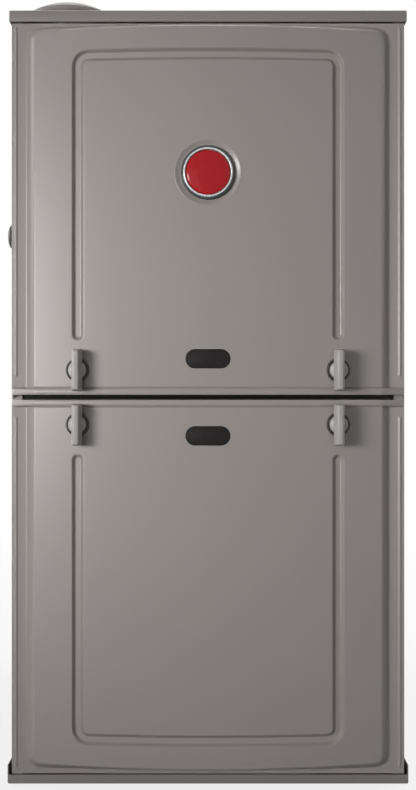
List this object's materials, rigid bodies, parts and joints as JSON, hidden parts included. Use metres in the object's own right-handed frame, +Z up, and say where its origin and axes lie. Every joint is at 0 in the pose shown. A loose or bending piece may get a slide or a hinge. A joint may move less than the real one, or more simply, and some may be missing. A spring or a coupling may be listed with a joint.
{
  "type": "forced air gas furnace",
  "caption": "Upflow warm-air furnace cabinet with two bowed lift-off doors, quarter-turn latches, tubular heat exchanger, burners, draft inducer and centrifugal blower.",
  "frame": {"origin": "centre of the footprint at floor level", "axes": "+Z up, -Y out of the two doors at the front, +X to the right seen from the front"},
  "size_m": [0.452, 0.745, 0.8904],
  "materials": {
    "cabinet_paint": "warm grey satin enamel on cold-rolled steel",
    "latch_plastic": "light grey moulded nylon",
    "black_plastic": "black moulded nylon",
    "seal_foam": "black closed-cell foam",
    "smoked_window": "smoked polycarbonate, glossy",
    "red_dome": "glossy red domed resin",
    "badge_chrome": "bright chrome with a dark flange",
    "galvanised": "galvanised sheet, faint spangle",
    "aluminised": "aluminised sheet and tube, dull",
    "motor_shell": "black enamelled motor shell",
    "inducer_paint": "black high-temperature enamel",
    "gas_pipe": "black iron pipe",
    "die_cast": "as-cast aluminium",
    "knob_red": "red moulded plastic",
    "ceramic": "white unglazed ceramic",
    "circuit_board": "green solder mask on glass epoxy",
    "laminations": "varnished steel laminations",
    "white_plastic": "white acetal"
  },
  "bodies": {
    "cabinet": {"left_side_panel": "cabinet_paint", "right_side_panel": "cabinet_paint", "back_panel": "cabinet_paint", "top_cap": "cabinet_paint", "base_pan": "cabinet_paint", "left_hole_plug": "black_plastic", "right_hole_plug": "black_plastic", "pressure_switch": "black_plastic", "rollout_switch": "black_plastic", "interlock_switch": "black_plastic", "door_seal_strip": "seal_foam", "pressure_hose": "seal_foam", "supply_collar": "galvanised", "mid_rail": "galvanised", "blower_deck": "galvanised", "flue_pipe": "galvanised", "blower_housing": "galvanised", "motor_bracket": "galvanised", "control_plate": "galvanised", "junction_box": "galvanised", "vestibule_panel": "aluminised", "heat_tube_1": "aluminised", "heat_tube_2": "aluminised", "heat_tube_3": "aluminised", "heat_tube_4": "aluminised", "collector_box": "aluminised", "burner_box": "aluminised", "burner_1": "aluminised", "burner_2": "aluminised", "burner_3": "aluminised", "burner_4": "aluminised", "inducer_motor": "motor_shell", "blower_motor": "motor_shell", "inducer_housing": "inducer_paint", "gas_manifold": "gas_pipe", "gas_valve": "die_cast", "igniter": "ceramic", "flame_sensor": "ceramic", "control_board": "circuit_board", "transformer": "laminations"},
    "upper_door": {"upper_door": "cabinet_paint", "upper_sight_glass": "smoked_window", "badge_bezel": "badge_chrome", "badge_disc": "red_dome", "upper_left_latch_bush": "black_plastic", "upper_right_latch_bush": "black_plastic"},
    "lower_door": {"lower_door": "cabinet_paint", "lower_sight_glass": "smoked_window", "lower_left_latch_bush": "black_plastic", "lower_right_latch_bush": "black_plastic"},
    "upper_left_latch": {"upper_left_latch_handle": "latch_plastic"},
    "upper_right_latch": {"upper_right_latch_handle": "latch_plastic"},
    "lower_left_latch": {"lower_left_latch_handle": "latch_plastic"},
    "lower_right_latch": {"lower_right_latch_handle": "latch_plastic"},
    "blower_wheel": {"blower_wheel": "galvanised"},
    "inducer_wheel": {"inducer_wheel": "galvanised"},
    "gas_valve_knob": {"gas_valve_knob": "knob_red"},
    "interlock_plunger": {"interlock_plunger": "white_plastic"},
    "rollout_button": {"rollout_button": "knob_red"},
    "vent_cap": {"vent_cap": "cabinet_paint"}
  },
  "joints": [
    {"name": "upper_door_pull", "type": "slide", "parent": "cabinet", "child": "upper_door", "axis": [0, -1, 0], "range_m": [0, 0.3]},
    {"name": "lower_door_pull", "type": "slide", "parent": "cabinet", "child": "lower_door", "axis": [0, -1, 0], "range_m": [0, 0.3]},
    {"name": "upper_left_latch_turn", "type": "hinge", "parent": "upper_door", "child": "upper_left_latch", "pos_m": [-0.1438, -0.33, 0.46145], "axis": [0, 1, 0], "range_deg": [0, 90]},
    {"name": "upper_right_latch_turn", "type": "hinge", "parent": "upper_door", "child": "upper_right_latch", "pos_m": [0.1438, -0.33, 0.46145], "axis": [0, -1, 0], "range_deg": [0, 90]},
    {"name": "lower_left_latch_turn", "type": "hinge", "parent": "lower_door", "child": "lower_left_latch", "pos_m": [-0.1438, -0.33, 0.40145], "axis": [0, -1, 0], "range_deg": [0, 90]},
    {"name": "lower_right_latch_turn", "type": "hinge", "parent": "lower_door", "child": "lower_right_latch", "pos_m": [0.1438, -0.33, 0.40145], "axis": [0, 1, 0], "range_deg": [0, 90]},
    {"name": "blower_wheel_spin", "type": "hinge", "parent": "cabinet", "child": "blower_wheel", "pos_m": [0, 0.06, 0.215], "axis": [1, 0, 0], "continuous": true},
    {"name": "inducer_wheel_spin", "type": "hinge", "parent": "cabinet", "child": "inducer_wheel", "pos_m": [-0.112, -0.255, 0.69], "axis": [0, 1, 0], "continuous": true},
    {"name": "gas_valve_knob_turn", "type": "hinge", "parent": "cabinet", "child": "gas_valve_knob", "pos_m": [0.155, -0.3183, 0.62], "axis": [0, 1, 0], "range_deg": [0, 90]},
    {"name": "interlock_plunger_press", "type": "slide", "parent": "cabinet", "child": "interlock_plunger", "axis": [0, 1, 0], "range_m": [0, 0.004], "stiffness_N_per_m": 200},
    {"name": "rollout_button_press", "type": "slide", "parent": "cabinet", "child": "rollout_button", "axis": [0, 0, -1], "range_m": [0, 0.0015], "stiffness_N_per_m": 400},
    {"name": "vent_cap_lift", "type": "slide", "parent": "cabinet", "child": "vent_cap", "axis": [0, 0, 1], "range_m": [0, 0.06]}
  ]
}
